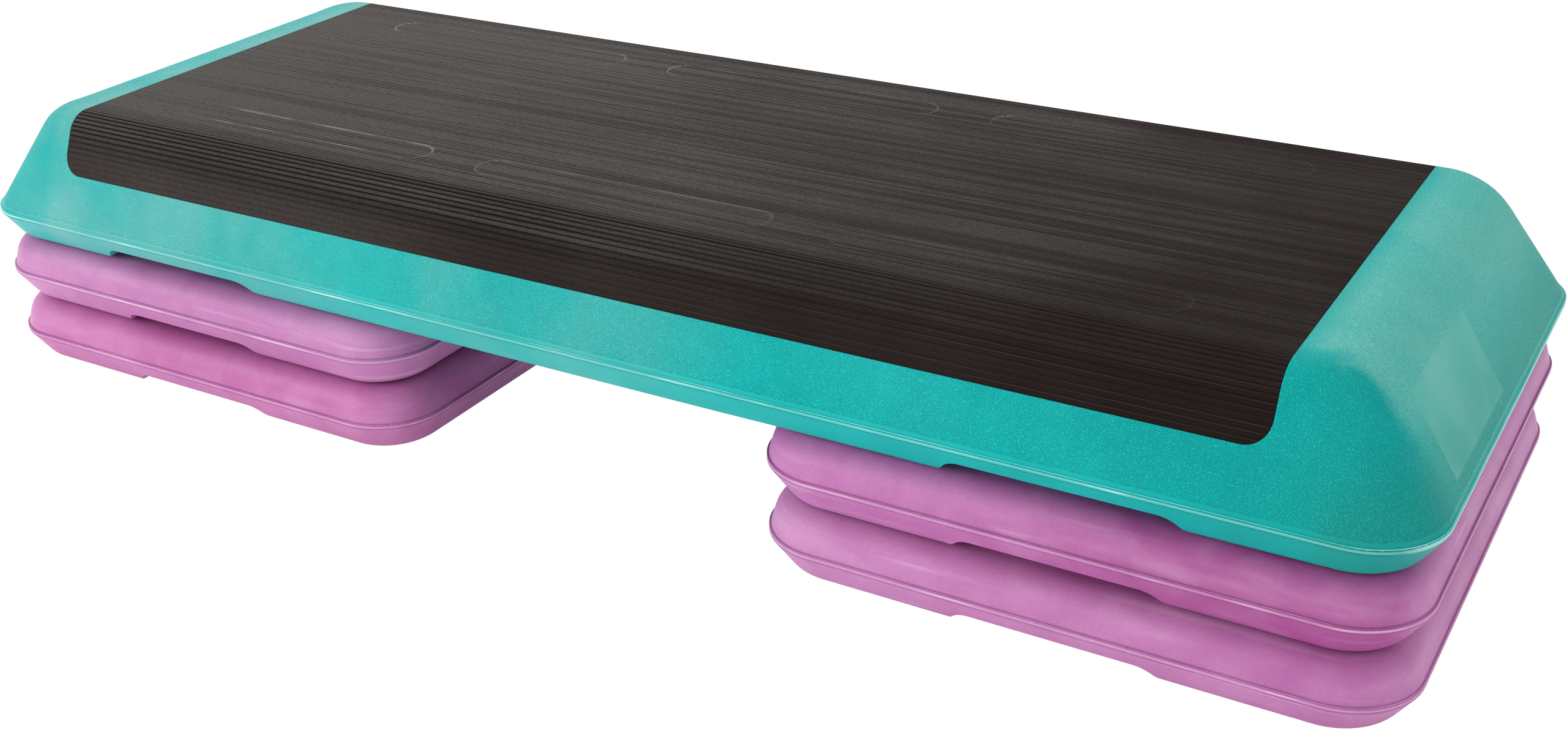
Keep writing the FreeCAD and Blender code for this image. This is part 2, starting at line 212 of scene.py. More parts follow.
def riser_plastic(name, deep, pale, base, left_end, painted_light):
    """Satin purple HDPE of one riser, with its underside at height base and its left end at left_end."""
    material, tree, shader, place = new_material(name)
    x, _, z = axes_of(tree, place)
    height = less(tree, z, base)
    right_end = left_end + 2.0 * RISER_HALF
    at_end, beyond, far_end, run = painted_light

    # Deep and pale plastic mixed in clouds, with painted light and shade along x towards the ends, and with
    # mottles and specks
    clouds = ramp(tree, cloud(tree, place, scale=9.0, detail=3.0), 0.35, 0.68)
    lit_run = ramp(tree, x, left_end, left_end + run, at_end, beyond)
    end = ramp(tree, x, right_end + END_PAINTED_LIGHT[0], right_end + END_PAINTED_LIGHT[1], 0.0, far_end - beyond)
    share = plus(tree, plus(tree, lit_run, end), times(tree, less(tree, clouds, 0.5), 0.5))
    colour = tint(tree, share, deep, pale)
    mottles = cloud(tree, place, scale=36.0, detail=4.0, distortion=0.6)
    colour = tint(tree, ramp(tree, mottles, 0.34, 0.68, 0.0, RISER_MOTTLED), colour, RISER_RUBBED_AND_HIGHLIGHT)
    specks = cloud(tree, place, scale=520.0, detail=2.0)
    colour = tint(tree, ramp(tree, specks, 0.30, 0.70, RISER_SPECKED, 0.0), colour, RISER_GRIME_AND_SHADE)

    # Level smears all over, and wider hazes on the shoulder
    smears = cloud(tree, place, detail=4.0, stretch=(7.0, 7.0, 160.0))
    smears = ramp(tree, smears, 0.58, 0.80, 0.0, RISER_SMEARED)
    hazes = cloud(tree, place, detail=3.0, stretch=(9.0, 9.0, 60.0))
    hazes = ramp(tree, hazes, 0.50, 0.74, 0.0, RISER_HAZED)
    hazes = times(tree, hazes, band(tree, height, *RISER_SHOULDER, SHOULDER_SOFT))
    colour = tint(tree, most(tree, smears, hazes), colour, RISER_RUBBED_AND_HIGHLIGHT)

    # Bead: painted shade in the crease above it, and a pale nicked line on it that is wear with a painted
    # highlight
    bead_top = RISER_BEAD + BEAD_BAND
    crease = band(tree, height, bead_top + RISER_CREASE[0], bead_top + RISER_CREASE[1], CREASE_SOFT)
    faint = ramp(tree, x, right_end + END_CREASE[0], right_end + END_CREASE[1], *CREASE_SHARES)
    colour = tint(tree, times(tree, crease, faint), colour, RISER_GRIME_AND_SHADE)
    nicks_and_highlight = cloud(tree, place, detail=3.0, stretch=(26.0, 26.0, 200.0))
    nicks_and_highlight = ramp(tree, nicks_and_highlight, 0.50, 0.70, *NICK_SHARES)
    line = band(tree, height, RISER_BEAD + RISER_LINE[0], RISER_BEAD + RISER_LINE[1], LINE_SOFT)
    colour = tint(tree, times(tree, line, nicks_and_highlight), colour, RISER_RUBBED_AND_HIGHLIGHT)

    feed(tree, shader.inputs["Base Color"], colour)
    feed(tree, shader.inputs["Roughness"], ramp(tree, clouds, 0.0, 1.0, *RISER_ROUGHNESS))
    shader.inputs["Specular IOR Level"].default_value = RISER_SPECULAR
    waves = relief(tree, cloud(tree, place, scale=16.0, detail=1.0), RISER_WAVES)
    skin = relief(tree, cloud(tree, place, scale=900.0, detail=2.0), RISER_SKIN, waves)
    swell = bead_profile(tree, height, RISER_BEAD)
    feed(tree, shader.inputs["Normal"], relief(tree, swell, BEAD_SWELL, skin))
    return material


for stack, base in RISER_BASES.items():
    deep, pale = RISER_COLOURS[stack]
    left_end = (STACK_X if stack.startswith("right") else -STACK_X) - RISER_HALF
    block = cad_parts["riser_" + stack]
    plastic = riser_plastic("riser_plastic_" + stack, deep, pale, base, left_end, RISER_PAINTED_LIGHT[stack])
    block.material_slots[0].material = plastic


# Parting-line flash
# The thin lip that the two halves of each mould leave all round, trimmed by knife and worn white by handling.
# It stands on the bead of every moulding and is part of it.

FLASH_RADIUS = 0.0004
FLASH_STEP = 0.004
FLASH_SIDES = 6
FLASH_CORNER_POINTS = 16
FLASH_WANDER = 45.0
FLASH_THICKNESS = (0.45, 1.15)
FLASH_ROUGHNESS = 0.42
FLASH_CUTS = 0.5
BEAD_CORNER = 0.047
MERGE_DISTANCE = 1e-6
RISER_SIZE = (2.0 * RISER_HALF, 2.0 * RISER_HALF)
RISER_FLASH_WORN = (0.58, 0.30, 0.52, 1.0)


def tree_input(tree, name, kind, value):
    """Named input of a geometry tree with its value."""
    made = tree.interface.new_socket(name, in_out="INPUT", socket_type=kind)
    if value is not None:
        made.default_value = value
    return made


def finish_tree(tree, shape, material):
    """End a geometry tree: its shape made real and painted."""
    real = tree.nodes.new("GeometryNodeRealizeInstances")
    feed(tree, real.inputs[0], shape)
    painted = tree.nodes.new("GeometryNodeSetMaterial")
    feed(tree, painted.inputs["Geometry"], real.outputs[0])
    feed(tree, painted.inputs["Material"], material)
    feed(tree, tree.nodes.new("NodeGroupOutput").inputs[0], painted.outputs[0])


def flash_tree():
    """Round-cornered ring of a thin lip whose thickness wanders along it."""
    tree = bpy.data.node_groups.new("parting_flash", "GeometryNodeTree")
    for name in ("Length", "Width", "Corner", "Centre X", "Height", "Radius", "Step"):
        tree_input(tree, name, "NodeSocketFloat", 0.0)
    tree_input(tree, "Material", "NodeSocketMaterial", None)
    tree.interface.new_socket("Geometry", in_out="OUTPUT", socket_type="NodeSocketGeometry")
    given = tree.nodes.new("NodeGroupInput").outputs

    outline = tree.nodes.new("GeometryNodeCurvePrimitiveQuadrilateral")
    feed(tree, outline.inputs["Width"], given["Length"])
    feed(tree, outline.inputs["Height"], given["Width"])
    rounded = tree.nodes.new("GeometryNodeFilletCurve")
    rounded.mode = "POLY"
    rounded.inputs["Count"].default_value = FLASH_CORNER_POINTS
    feed(tree, rounded.inputs["Curve"], outline.outputs[0])
    feed(tree, rounded.inputs["Radius"], given["Corner"])
    stations = tree.nodes.new("GeometryNodeResampleCurve")
    stations.mode = "LENGTH"
    feed(tree, stations.inputs["Curve"], rounded.outputs[0])
    feed(tree, stations.inputs["Length"], given["Step"])
    lifted = tree.nodes.new("GeometryNodeSetPosition")
    offset = tree.nodes.new("ShaderNodeCombineXYZ")
    feed(tree, offset.inputs[0], given["Centre X"])
    feed(tree, offset.inputs[2], given["Height"])
    feed(tree, lifted.inputs["Geometry"], stations.outputs[0])
    feed(tree, lifted.inputs["Offset"], offset.outputs[0])
    where = tree.nodes.new("GeometryNodeInputPosition").outputs[0]
    wander = tree.nodes.new("ShaderNodeTexNoise")
    feed(tree, wander.inputs["Vector"], where)
    wander.inputs["Scale"].default_value = FLASH_WANDER
    wander.inputs["Detail"].default_value = 3.0
    thickness = ramp(tree, wander.outputs["Fac"], 0.25, 0.75, *FLASH_THICKNESS)
    sized = tree.nodes.new("GeometryNodeSetCurveRadius")
    feed(tree, sized.inputs["Curve"], lifted.outputs[0])
    feed(tree, sized.inputs["Radius"], thickness)
    section = tree.nodes.new("GeometryNodeCurvePrimitiveCircle")
    section.inputs["Resolution"].default_value = FLASH_SIDES
    feed(tree, section.inputs["Radius"], given["Radius"])
    lip = tree.nodes.new("GeometryNodeCurveToMesh")
    feed(tree, lip.inputs["Curve"], sized.outputs[0])
    feed(tree, lip.inputs["Profile Curve"], section.outputs["Curve"])
    finish_tree(tree, lip.outputs[0], given["Material"])
    return tree


def grown(name, mesh, tree, values):
    """Piece made by a geometry tree on a mesh, as a plain smooth mesh with its faces outwards."""
    carrier = bpy.data.objects.new(name, mesh)
    bpy.context.scene.collection.objects.link(carrier)
    modifier = carrier.modifiers.new("shape", "NODES")
    modifier.node_group = tree
    for item in tree.interface.items_tree:
        if item.in_out == "INPUT" and item.name in values:
            modifier[item.identifier] = values[item.name]
    carrier.update_tag()
    made = bpy.data.meshes.new_from_object(carrier.evaluated_get(bpy.context.evaluated_depsgraph_get()))
    carrier.modifiers.remove(modifier)
    made.name = name
    carrier.data = made
    shape = bmesh.new()
    shape.from_mesh(made)
    bmesh.ops.remove_doubles(shape, verts=shape.verts, dist=MERGE_DISTANCE)
    bmesh.ops.recalc_face_normals(shape, faces=shape.faces)
    for face in shape.faces:
        face.smooth = True
    shape.to_mesh(made)
    shape.free()
    return carrier


def flash_ring(name, tree, size, centre_x, height, material):
    """Lip round a moulding of the given length and width, at the height of its bead's upper edge."""
    return grown(name, bpy.data.meshes.new("flash"), tree, {
        "Length": size[0] - 2 * FLASH_RADIUS,
        "Width": size[1] - 2 * FLASH_RADIUS,
        "Corner": BEAD_CORNER - FLASH_RADIUS,
        "Centre X": centre_x,
        "Height": height - FLASH_RADIUS / 2.0,
        "Radius": FLASH_RADIUS,
        "Step": FLASH_STEP,
        "Material": material,
    })


def flash_plastic(name, fresh, worn, grime):
    """Whitened edge of a moulding, with cuts and grime in it."""
    material, tree, shader, place = new_material(name)
    wear = ramp(tree, cloud(tree, place, scale=17.0, detail=4.0), 0.30, 0.75)
    cuts = ramp(tree, cloud(tree, place, scale=180.0, detail=2.0), 0.64, 0.72)
    colour = tint(tree, wear, fresh, worn)
    colour = tint(tree, times(tree, cuts, FLASH_CUTS), colour, grime)
    feed(tree, shader.inputs["Base Color"], colour)
    shader.inputs["Roughness"].default_value = FLASH_ROUGHNESS
    return material


flash = flash_tree()
for stack, base in RISER_BASES.items():
    edge = flash_plastic("riser_flash_" + stack, RISER_COLOURS[stack][0], RISER_FLASH_WORN, RISER_GRIME_AND_SHADE)
    centre_x = STACK_X if stack.startswith("right") else -STACK_X
    bead_top = base + RISER_BEAD + BEAD_BAND
    lip = flash_ring("riser_" + stack + "_flash", flash, RISER_SIZE, centre_x, bead_top, edge)
    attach(lip, stack + "_riser")


# Platform shell
# One long blow-moulded body of teal HDPE. Its slopes carry a fine hide-like grain, its lower wall is smooth,
# and its right end has a smooth bare panel. Towards both ends it is chalky from sun and hands, and paler
# still with painted sheen.

PLATFORM_SIZE = (1.092, 0.406)
PLATFORM_BASE = 2.0 * RISER_STEP
CREASE_RISE = 0.0255
GRAIN_RISE = 0.0028
PLATFORM_CREASE = PLATFORM_BASE + CREASE_RISE
GRAIN_START = PLATFORM_CREASE + GRAIN_RISE
GRAIN_SOFT = 0.0004
GRAIN_DEPTH = 0.00036
SHELL_WAVES = 0.0008
SHELL_ROUGHNESS = (0.36, 0.50)
SHELL_SPECULAR = 0.05

# Heights from the crease of the bead's pale line and of its wider painted highlight, which sets in along x
SHELL_LINE = (-0.0022, -0.0014)
BEAD_HIGHLIGHT = (-0.0030, -0.0008)
BEAD_HIGHLIGHT_SOFT = 0.0005
BEAD_HIGHLIGHT_X = (0.520, 0.540)
# Half the height of the dotted edge where the grain starts
STITCH_HALF = 0.0003
STITCH_SOFT = 0.0005

PANEL_X = (0.44, 0.45)
PANEL_Y = (-0.124, -0.008)
PANEL_Z = (0.136, 0.182)
PANEL_SOFT_Y = 0.0012
PANEL_SOFT_Z = 0.0008

TEAL_DEEP = (0.002, 0.386, 0.369, 1.0)
TEAL = (0.004, 0.435, 0.415, 1.0)
TEAL_SHADE = (0.000, 0.230, 0.215, 1.0)
TEAL_DUSK = (0.020, 0.195, 0.140, 1.0)
# TEAL_PIT is painted shade in the pits of the grain, and also darkens the smooth wall
TEAL_PIT = (0.000, 0.090, 0.082, 1.0)
TEAL_CHALK_AND_SHEEN = (0.215, 0.465, 0.448, 1.0)
TEAL_FADE_AND_SHEEN = (0.142, 0.505, 0.444, 1.0)
TEAL_WORN_AND_HIGHLIGHT = (0.330, 0.640, 0.620, 1.0)
TEAL_GRIME = (0.010, 0.120, 0.110, 1.0)

# Chalky left part along x, partly painted sheen: where it sets in, where it grows, where it stops, and a
# strip in it where it is halved
CHALK_START = (0.17, 0.00)
CHALK_GROWTH = (-0.14, -0.48)
CHALK_STOP = (-0.54, -0.49)
CHALK_DIP = (-0.515, -0.475)
CHALK_DIP_SOFT = 0.015
CHALK_SHARES = (0.04, 0.29)
CHALK_GROWN = 0.31
CHALK_KEPT = 0.5
DRIFT_SHARES = (0.34, 1.0)

# Deeper colour on the right part of the front: where it sets in along x, and round the edge along y
FRONT_SHADE_X = (0.24, 0.50)
FRONT_SHADE_Y = (-0.134, -0.156)
FRONT_SHADED = 0.36

# Fade of the right end, partly painted sheen: where it sets in along x, and the slanting, wavering line on
# the front corner that ends it.
# Lower down that line lies further back and is softer.
FADE_X = (0.446, 0.470)
FADE_MIDDLE_X = 0.46
FADE_SLANT = 0.2
FADE_WAVER = 0.008
FADE_Z = (0.150, 0.200)
FADE_BACK = (0.130, 0.1425)
FADE_SHARPNESS = (0.28, 1.0)
FADE_EDGE = (-0.0085, 0.0125)
FADE_LOWER_Z = (0.140, 0.186)
FADE_SHARE = 0.85
FADE_LOWER_KEPT = 0.70
FADE_DRIFT_KEPT = 0.75

# Painted shade on the low part of the right end
DUSK_X = (0.470, 0.500)
DUSK_Z = (0.132, 0.180)
DUSK_SHARE = 0.32

# Shares of the mottles, the panel's dusk and haze, the painted shade in the pits along x, the smooth wall,
# the nicks, the painted highlight and the dots
SHELL_MOTTLED = 0.13
PANEL_DUSK = 0.40
PANEL_HAZE = 0.20
PITS_X = (-0.45, 0.10)
PIT_SHARES = (0.16, 0.31)
WALL_DEEPER = 0.14
SHELL_NICKS = (0.35, 0.95)
BEAD_HIGHLIGHT_SHARE = 0.85
STITCH_SHARE = 0.22


def teal_plastic(name):
    """Grained teal HDPE with a smooth lower wall and a smooth panel on the right end."""
    material, tree, shader, place = new_material(name)
    x, y, z = axes_of(tree, place)
    above = ramp(tree, z, GRAIN_START - GRAIN_SOFT, GRAIN_START + GRAIN_SOFT)
    panel = times(tree, band(tree, y, *PANEL_Y, PANEL_SOFT_Y), band(tree, z, *PANEL_Z, PANEL_SOFT_Z))
    panel = times(tree, panel, ramp(tree, x, *PANEL_X))
    grained = times(tree, above, less(tree, 1.0, panel))
    grain = ramp(tree, cloud(tree, place, scale=1200.0, detail=1.0, distortion=0.4), 0.33, 0.67)

    # Teal in clouds, with darker mottles
    clouds = ramp(tree, cloud(tree, place, scale=8.0, detail=4.0), 0.33, 0.70)
    colour = tint(tree, clouds, TEAL_DEEP, TEAL)
    mottles = ramp(tree, cloud(tree, place, scale=42.0, detail=3.0), 0.34, 0.66, 0.0, SHELL_MOTTLED)
    colour = tint(tree, mottles, colour, TEAL_SHADE)

    # Chalky left part in drifts, partly painted sheen
    far_left = ramp(tree, x, *CHALK_GROWTH, 0.0, CHALK_GROWN)
    far_left = times(tree, far_left, ramp(tree, x, *CHALK_STOP, CHALK_KEPT, 1.0))
    left = plus(tree, ramp(tree, x, *CHALK_START, *CHALK_SHARES), far_left)
    chalk_dip = times(tree, band(tree, x, *CHALK_DIP, CHALK_DIP_SOFT), 1.0 - CHALK_KEPT)
    left = times(tree, left, less(tree, 1.0, chalk_dip))
    drift = ramp(tree, cloud(tree, place, scale=13.0, detail=4.0), 0.34, 0.66, *DRIFT_SHARES)
    colour = tint(tree, times(tree, left, drift), colour, TEAL_CHALK_AND_SHEEN)

    # Deeper front on the right, and the right end's fade and painted sheen behind its line
    front_right = ramp(tree, x, *FRONT_SHADE_X, 0.0, FRONT_SHADED)
    front_right = times(tree, front_right, ramp(tree, y, *FRONT_SHADE_Y))
    colour = tint(tree, front_right, colour, TEAL_SHADE)
    ridge = plus(tree, y, times(tree, less(tree, x, FADE_MIDDLE_X), FADE_SLANT))
    waver = cloud(tree, place, scale=40.0, detail=3.0)
    ridge = plus(tree, ridge, ramp(tree, waver, 0.25, 0.75, -FADE_WAVER, FADE_WAVER))
    behind = plus(tree, ridge, ramp(tree, z, *FADE_Z, *FADE_BACK))
    behind = times(tree, behind, ramp(tree, z, *FADE_Z, *FADE_SHARPNESS))
    end = times(tree, ramp(tree, x, *FADE_X, 0.0, FADE_SHARE), ramp(tree, behind, *FADE_EDGE))
    lower = ramp(tree, z, *FADE_LOWER_Z, FADE_LOWER_KEPT, 1.0)
    end = times(tree, end, times(tree, lower, ramp(tree, drift, *DRIFT_SHARES, FADE_DRIFT_KEPT, 1.0)))
    colour = tint(tree, end, colour, TEAL_FADE_AND_SHEEN)
    # Painted shade on the low part of the right end
    dusk = times(tree, ramp(tree, x, *DUSK_X), ramp(tree, z, *DUSK_Z, DUSK_SHARE, 0.0))
    colour = tint(tree, dusk, colour, TEAL_DUSK)

    # Panel with a soft haze, then painted shade in the pits of the grain, and a darker smooth wall
    colour = tint(tree, times(tree, panel, PANEL_DUSK), colour, TEAL_DUSK)
    haze = ramp(tree, cloud(tree, place, scale=30.0, detail=3.0), 0.32, 0.72, 0.0, PANEL_HAZE)
    colour = tint(tree, times(tree, panel, haze), colour, TEAL_CHALK_AND_SHEEN)
    clear = times(tree, grained, ramp(tree, x, *PITS_X, *PIT_SHARES))
    pits = times(tree, clear, less(tree, 1.0, grain))
    smooth = ramp(tree, above, 0.0, 1.0, WALL_DEEPER, 0.0)
    colour = tint(tree, plus(tree, pits, smooth), colour, TEAL_PIT)

    # Bead: a pale nicked line, on the right end a wider painted highlight, and the dotted edge of the grain
    # above it
    line = band(tree, z, PLATFORM_CREASE + SHELL_LINE[0], PLATFORM_CREASE + SHELL_LINE[1], LINE_SOFT)
    nicks_and_highlight = cloud(tree, place, detail=4.0, stretch=(18.0, 18.0, 200.0))
    nicks_and_highlight = ramp(tree, nicks_and_highlight, 0.46, 0.68, *SHELL_NICKS)
    right_end = ramp(tree, x, *BEAD_HIGHLIGHT_X)
    highlight_low, highlight_high = (PLATFORM_CREASE + rise for rise in BEAD_HIGHLIGHT)
    bead_highlight = band(tree, z, highlight_low, highlight_high, BEAD_HIGHLIGHT_SOFT)
    line = most(tree, line, times(tree, bead_highlight, right_end))
    nicks_and_highlight = most(tree, nicks_and_highlight, times(tree, right_end, BEAD_HIGHLIGHT_SHARE))
    colour = tint(tree, times(tree, line, nicks_and_highlight), colour, TEAL_WORN_AND_HIGHLIGHT)
    stitch = band(tree, z, GRAIN_START - STITCH_HALF, GRAIN_START + STITCH_HALF, STITCH_SOFT)
    dots = ramp(tree, cloud(tree, place, scale=420.0, detail=1.0), 0.46, 0.58)
    colour = tint(tree, times(tree, times(tree, stitch, dots), STITCH_SHARE), colour, TEAL_GRIME)

    feed(tree, shader.inputs["Base Color"], colour)
    feed(tree, shader.inputs["Roughness"], ramp(tree, grained, 0.0, 1.0, *SHELL_ROUGHNESS))
    shader.inputs["Specular IOR Level"].default_value = SHELL_SPECULAR
    waves = relief(tree, cloud(tree, place, scale=12.0, detail=1.0), SHELL_WAVES)
    hide = relief(tree, times(tree, grain, grained), GRAIN_DEPTH, waves)
    swell = bead_profile(tree, z, PLATFORM_CREASE - BEAD_BAND)
    feed(tree, shader.inputs["Normal"], relief(tree, swell, BEAD_SWELL, hide))
    return material


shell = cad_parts["platform_shell"]
shell.material_slots[0].material = teal_plastic("teal_plastic")

shell_edge = flash_plastic("teal_flash", TEAL, TEAL_WORN_AND_HIGHLIGHT, TEAL_GRIME)
shell_lip = flash_ring("platform_flash", flash, PLATFORM_SIZE, 0.0, PLATFORM_CREASE, shell_edge)
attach(shell_lip, "platform")


# Tread mat
# One sheet of ribbed black rubber, laid flush in the top, wrapped down both long sides and glued in place.
# Six long round-ended marks show where the moulding below is pinched together, and feet have greyed the ribs;
# more grey to the left and back is painted sheen.

MAT_LENGTH = 0.9076
MAT_TOP = 0.2032
MAT_THICKNESS = 0.0029
MAT_FLAT_HALF = 0.15567
MAT_ROUNDING = 0.020
MAT_LEAN = math.radians(23.44)
MAT_WALL = 0.03133
MAT_BEND_STRETCH = 1.18
MAT_WALL_STRETCH = 1.43
MAT_CORNER = 0.015
RIB_PITCH = 0.00288
RIB_HEIGHT = 0.00052
RIB_CROWN = 0.00014
RIB_FLANK = (0.50, 0.94)
RIB_ROWS = (-0.5, -0.42, -0.28, 0.0, 0.28, 0.42)
EDGE_MARGIN = 0.0003
WALL_FLATTENING = 0.6
MARK_LENGTH = 0.228
MARK_WIDTH = 0.026
MARK_PITCH = 0.272
MARK_ROW = 0.1175
MARK_DEPTH = 0.0004
MARK_SLOPE = 0.0010
MARK_END_STATIONS = (0.0, 0.35, 0.6, 0.78, 0.9, 0.98, 1.06)
SHARP_EDGE = math.radians(60.0)

# Across the flat sheet: the width of its bend, the end of that bend and the width of its wall
MAT_BEND = MAT_ROUNDING * (math.pi / 2.0 - MAT_LEAN) / MAT_BEND_STRETCH
MAT_PAST_BEND = MAT_FLAT_HALF + MAT_BEND
MAT_DROP = MAT_WALL / MAT_WALL_STRETCH


def flat_mat():
    """Flat sheet of faces: rows follow the ribs across the mat, columns crowd at the marks' round ends."""
    half = MAT_LENGTH / 2.0
    reach = MAT_PAST_BEND + MAT_DROP
    columns = {-half, half}
    for mark in (-1, 0, 1):
        columns.add(mark * MARK_PITCH)
        for station in MARK_END_STATIONS:
            away = MARK_LENGTH / 2.0 - MARK_WIDTH / 2.0 * (1.0 - station)
            columns.update((mark * MARK_PITCH - away, mark * MARK_PITCH + away))
    ribs = int(reach / RIB_PITCH) + 1
    rows = {-reach, reach}
    for rib in range(-ribs, ribs + 1):
        for share in RIB_ROWS:
            across = (rib + share) * RIB_PITCH
            if abs(across) < reach - EDGE_MARGIN:
                rows.add(across)
    columns = sorted(columns)
    rows = sorted(rows)
    points = [(x, s, 0.0) for s in rows for x in columns]
    wide = len(columns)
    faces = []
    for row in range(len(rows) - 1):
        for column in range(wide - 1):
            first = row * wide + column
            faces.append((first, first + 1, first + wide + 1, first + wide))
    mesh = bpy.data.meshes.new("flat_mat")
    mesh.from_pydata(points, [], faces)
    return mesh


MAT_SIZES = {
    "Top": MAT_TOP,
    "Thickness": MAT_THICKNESS,
    "Flat Half": MAT_FLAT_HALF,
    "Rounding": MAT_ROUNDING,
    "Lean": MAT_LEAN,
    "Wall": MAT_WALL,
    "Bend Stretch": MAT_BEND_STRETCH,
    "Wall Stretch": MAT_WALL_STRETCH,
    "Length": MAT_LENGTH,
    "Corner": MAT_CORNER,
    "Rib Pitch": RIB_PITCH,
    "Rib Height": RIB_HEIGHT,
    "Rib Crown": RIB_CROWN,
    "Mark Length": MARK_LENGTH,
    "Mark Width": MARK_WIDTH,
    "Mark Pitch": MARK_PITCH,
    "Mark Row": MARK_ROW,
    "Mark Depth": MARK_DEPTH,
}


def mat_tree():
    """Thickens the flat sheet, wraps it over the platform, and raises ribs and marks on its face."""
    tree = bpy.data.node_groups.new("ribbed_tread", "GeometryNodeTree")
    tree_input(tree, "Geometry", "NodeSocketGeometry", None)
    for name in MAT_SIZES:
        tree_input(tree, name, "NodeSocketFloat", 0.0)
    tree_input(tree, "Material", "NodeSocketMaterial", None)
    tree.interface.new_socket("Geometry", in_out="OUTPUT", socket_type="NodeSocketGeometry")
    given = tree.nodes.new("NodeGroupInput").outputs

    # A closed slab, one high for now
    raised = tree.nodes.new("GeometryNodeExtrudeMesh")
    feed(tree, raised.inputs["Mesh"], given["Geometry"])
    raised.inputs["Offset"].default_value = (0.0, 0.0, 1.0)
    raised.inputs["Individual"].default_value = False
    under = tree.nodes.new("GeometryNodeFlipFaces")
    feed(tree, under.inputs["Mesh"], given["Geometry"])
    slab = tree.nodes.new("GeometryNodeJoinGeometry")
    feed(tree, slab.inputs[0], raised.outputs["Mesh"])
    feed(tree, slab.inputs[0], under.outputs[0])
    closed = tree.nodes.new("GeometryNodeMergeByDistance")
    feed(tree, closed.inputs["Geometry"], slab.outputs[0])
    closed.inputs["Distance"].default_value = MERGE_DISTANCE

    # x runs along the platform, s across the sheet from its middle line, level is 1 on the face and 0 below
    x, s, level = axes_of(tree, tree.nodes.new("GeometryNodeInputPosition").outputs[0])
    side = reckon(tree, "SIGN", s)
    away = reckon(tree, "ABSOLUTE", s)

    # Where the sheet bends and how far it hangs down, and its ribs, which flatten down the wall
    past_flat = most(tree, less(tree, away, given["Flat Half"]), 0.0)
    turn = less(tree, math.pi / 2.0, given["Lean"])
    bend_rate = reckon(tree, "DIVIDE", given["Bend Stretch"], given["Rounding"])
    angle = reckon(tree, "MINIMUM", times(tree, past_flat, bend_rate), turn)
    past_bend = less(tree, past_flat, reckon(tree, "DIVIDE", angle, bend_rate))
    down = times(tree, past_bend, given["Wall Stretch"])
    beat = times(tree, reckon(tree, "PINGPONG", reckon(tree, "DIVIDE", s, given["Rib Pitch"]), 0.5), 2.0)
    groove = ramp(tree, beat, *RIB_FLANK)
    crown = times(tree, times(tree, beat, beat), given["Rib Crown"])
    rib = plus(tree, times(tree, groove, given["Rib Height"]), crown)
    flattened = times(tree, ramp(tree, down, 0.0, given["Wall"]), WALL_FLATTENING)
    rib = times(tree, rib, less(tree, 1.0, flattened))

    # Round-ended marks in two rows of three
    nearest = reckon(tree, "ROUND", reckon(tree, "DIVIDE", x, given["Mark Pitch"]))
    nearest = most(tree, reckon(tree, "MINIMUM", nearest, 1.0), -1.0)
    from_mark = reckon(tree, "ABSOLUTE", less(tree, x, times(tree, nearest, given["Mark Pitch"])))
    mark_radius = times(tree, given["Mark Width"], 0.5)
    mark_straight = less(tree, times(tree, given["Mark Length"], 0.5), mark_radius)
    end_run = most(tree, less(tree, from_mark, mark_straight), 0.0)
    row_run = less(tree, away, given["Mark Row"])
    run = reckon(tree, "SQRT", plus(tree, times(tree, end_run, end_run), times(tree, row_run, row_run)))
    mark = ramp(tree, less(tree, run, mark_radius), MARK_SLOPE, -MARK_SLOPE)
    face_depth = plus(tree, rib, times(tree, mark, given["Mark Depth"]))
    below = times(tree, less(tree, 1.0, level), given["Thickness"])
    depth = plus(tree, times(tree, level, face_depth), below)

    # The wrapped section, and the round lower corners of the sheet
    radius = less(tree, given["Rounding"], depth)
    lean_sine = reckon(tree, "SINE", given["Lean"])
    lean_cosine = reckon(tree, "COSINE", given["Lean"])
    flat = reckon(tree, "MINIMUM", away, given["Flat Half"])
    across = plus(tree, flat, times(tree, radius, reckon(tree, "SINE", angle)))
    across = plus(tree, across, times(tree, down, lean_sine))
    rise = times(tree, radius, reckon(tree, "COSINE", angle))
    height = plus(tree, less(tree, given["Top"], given["Rounding"]), rise)
    height = less(tree, height, times(tree, down, lean_cosine))
    above_edge = times(tree, less(tree, given["Wall"], down), lean_cosine)
    short = most(tree, less(tree, given["Corner"], above_edge), 0.0)
    square = times(tree, given["Corner"], given["Corner"])
    chord = most(tree, less(tree, square, times(tree, short, short)), 0.0)
    inset = less(tree, given["Corner"], reckon(tree, "SQRT", chord))
    share = reckon(tree, "DIVIDE", inset, times(tree, given["Length"], 0.5))
    spot = tree.nodes.new("ShaderNodeCombineXYZ")
    feed(tree, spot.inputs[0], times(tree, x, less(tree, 1.0, share)))
    feed(tree, spot.inputs[1], times(tree, side, across))
    feed(tree, spot.inputs[2], height)

    sheet = closed.outputs[0]
    for name, value in (("across", s), ("along", x), ("groove", groove), ("mark", mark)):
        store = tree.nodes.new("GeometryNodeStoreNamedAttribute")
        store.data_type = "FLOAT"
        store.domain = "POINT"
        store.inputs["Name"].default_value = name
        feed(tree, store.inputs["Geometry"], sheet)
        feed(tree, store.inputs["Value"], value)
        sheet = store.outputs[0]
    wrapped = tree.nodes.new("GeometryNodeSetPosition")
    feed(tree, wrapped.inputs["Geometry"], sheet)
    feed(tree, wrapped.inputs["Position"], spot.outputs[0])
    finish_tree(tree, wrapped.outputs[0], given["Material"])
    return tree


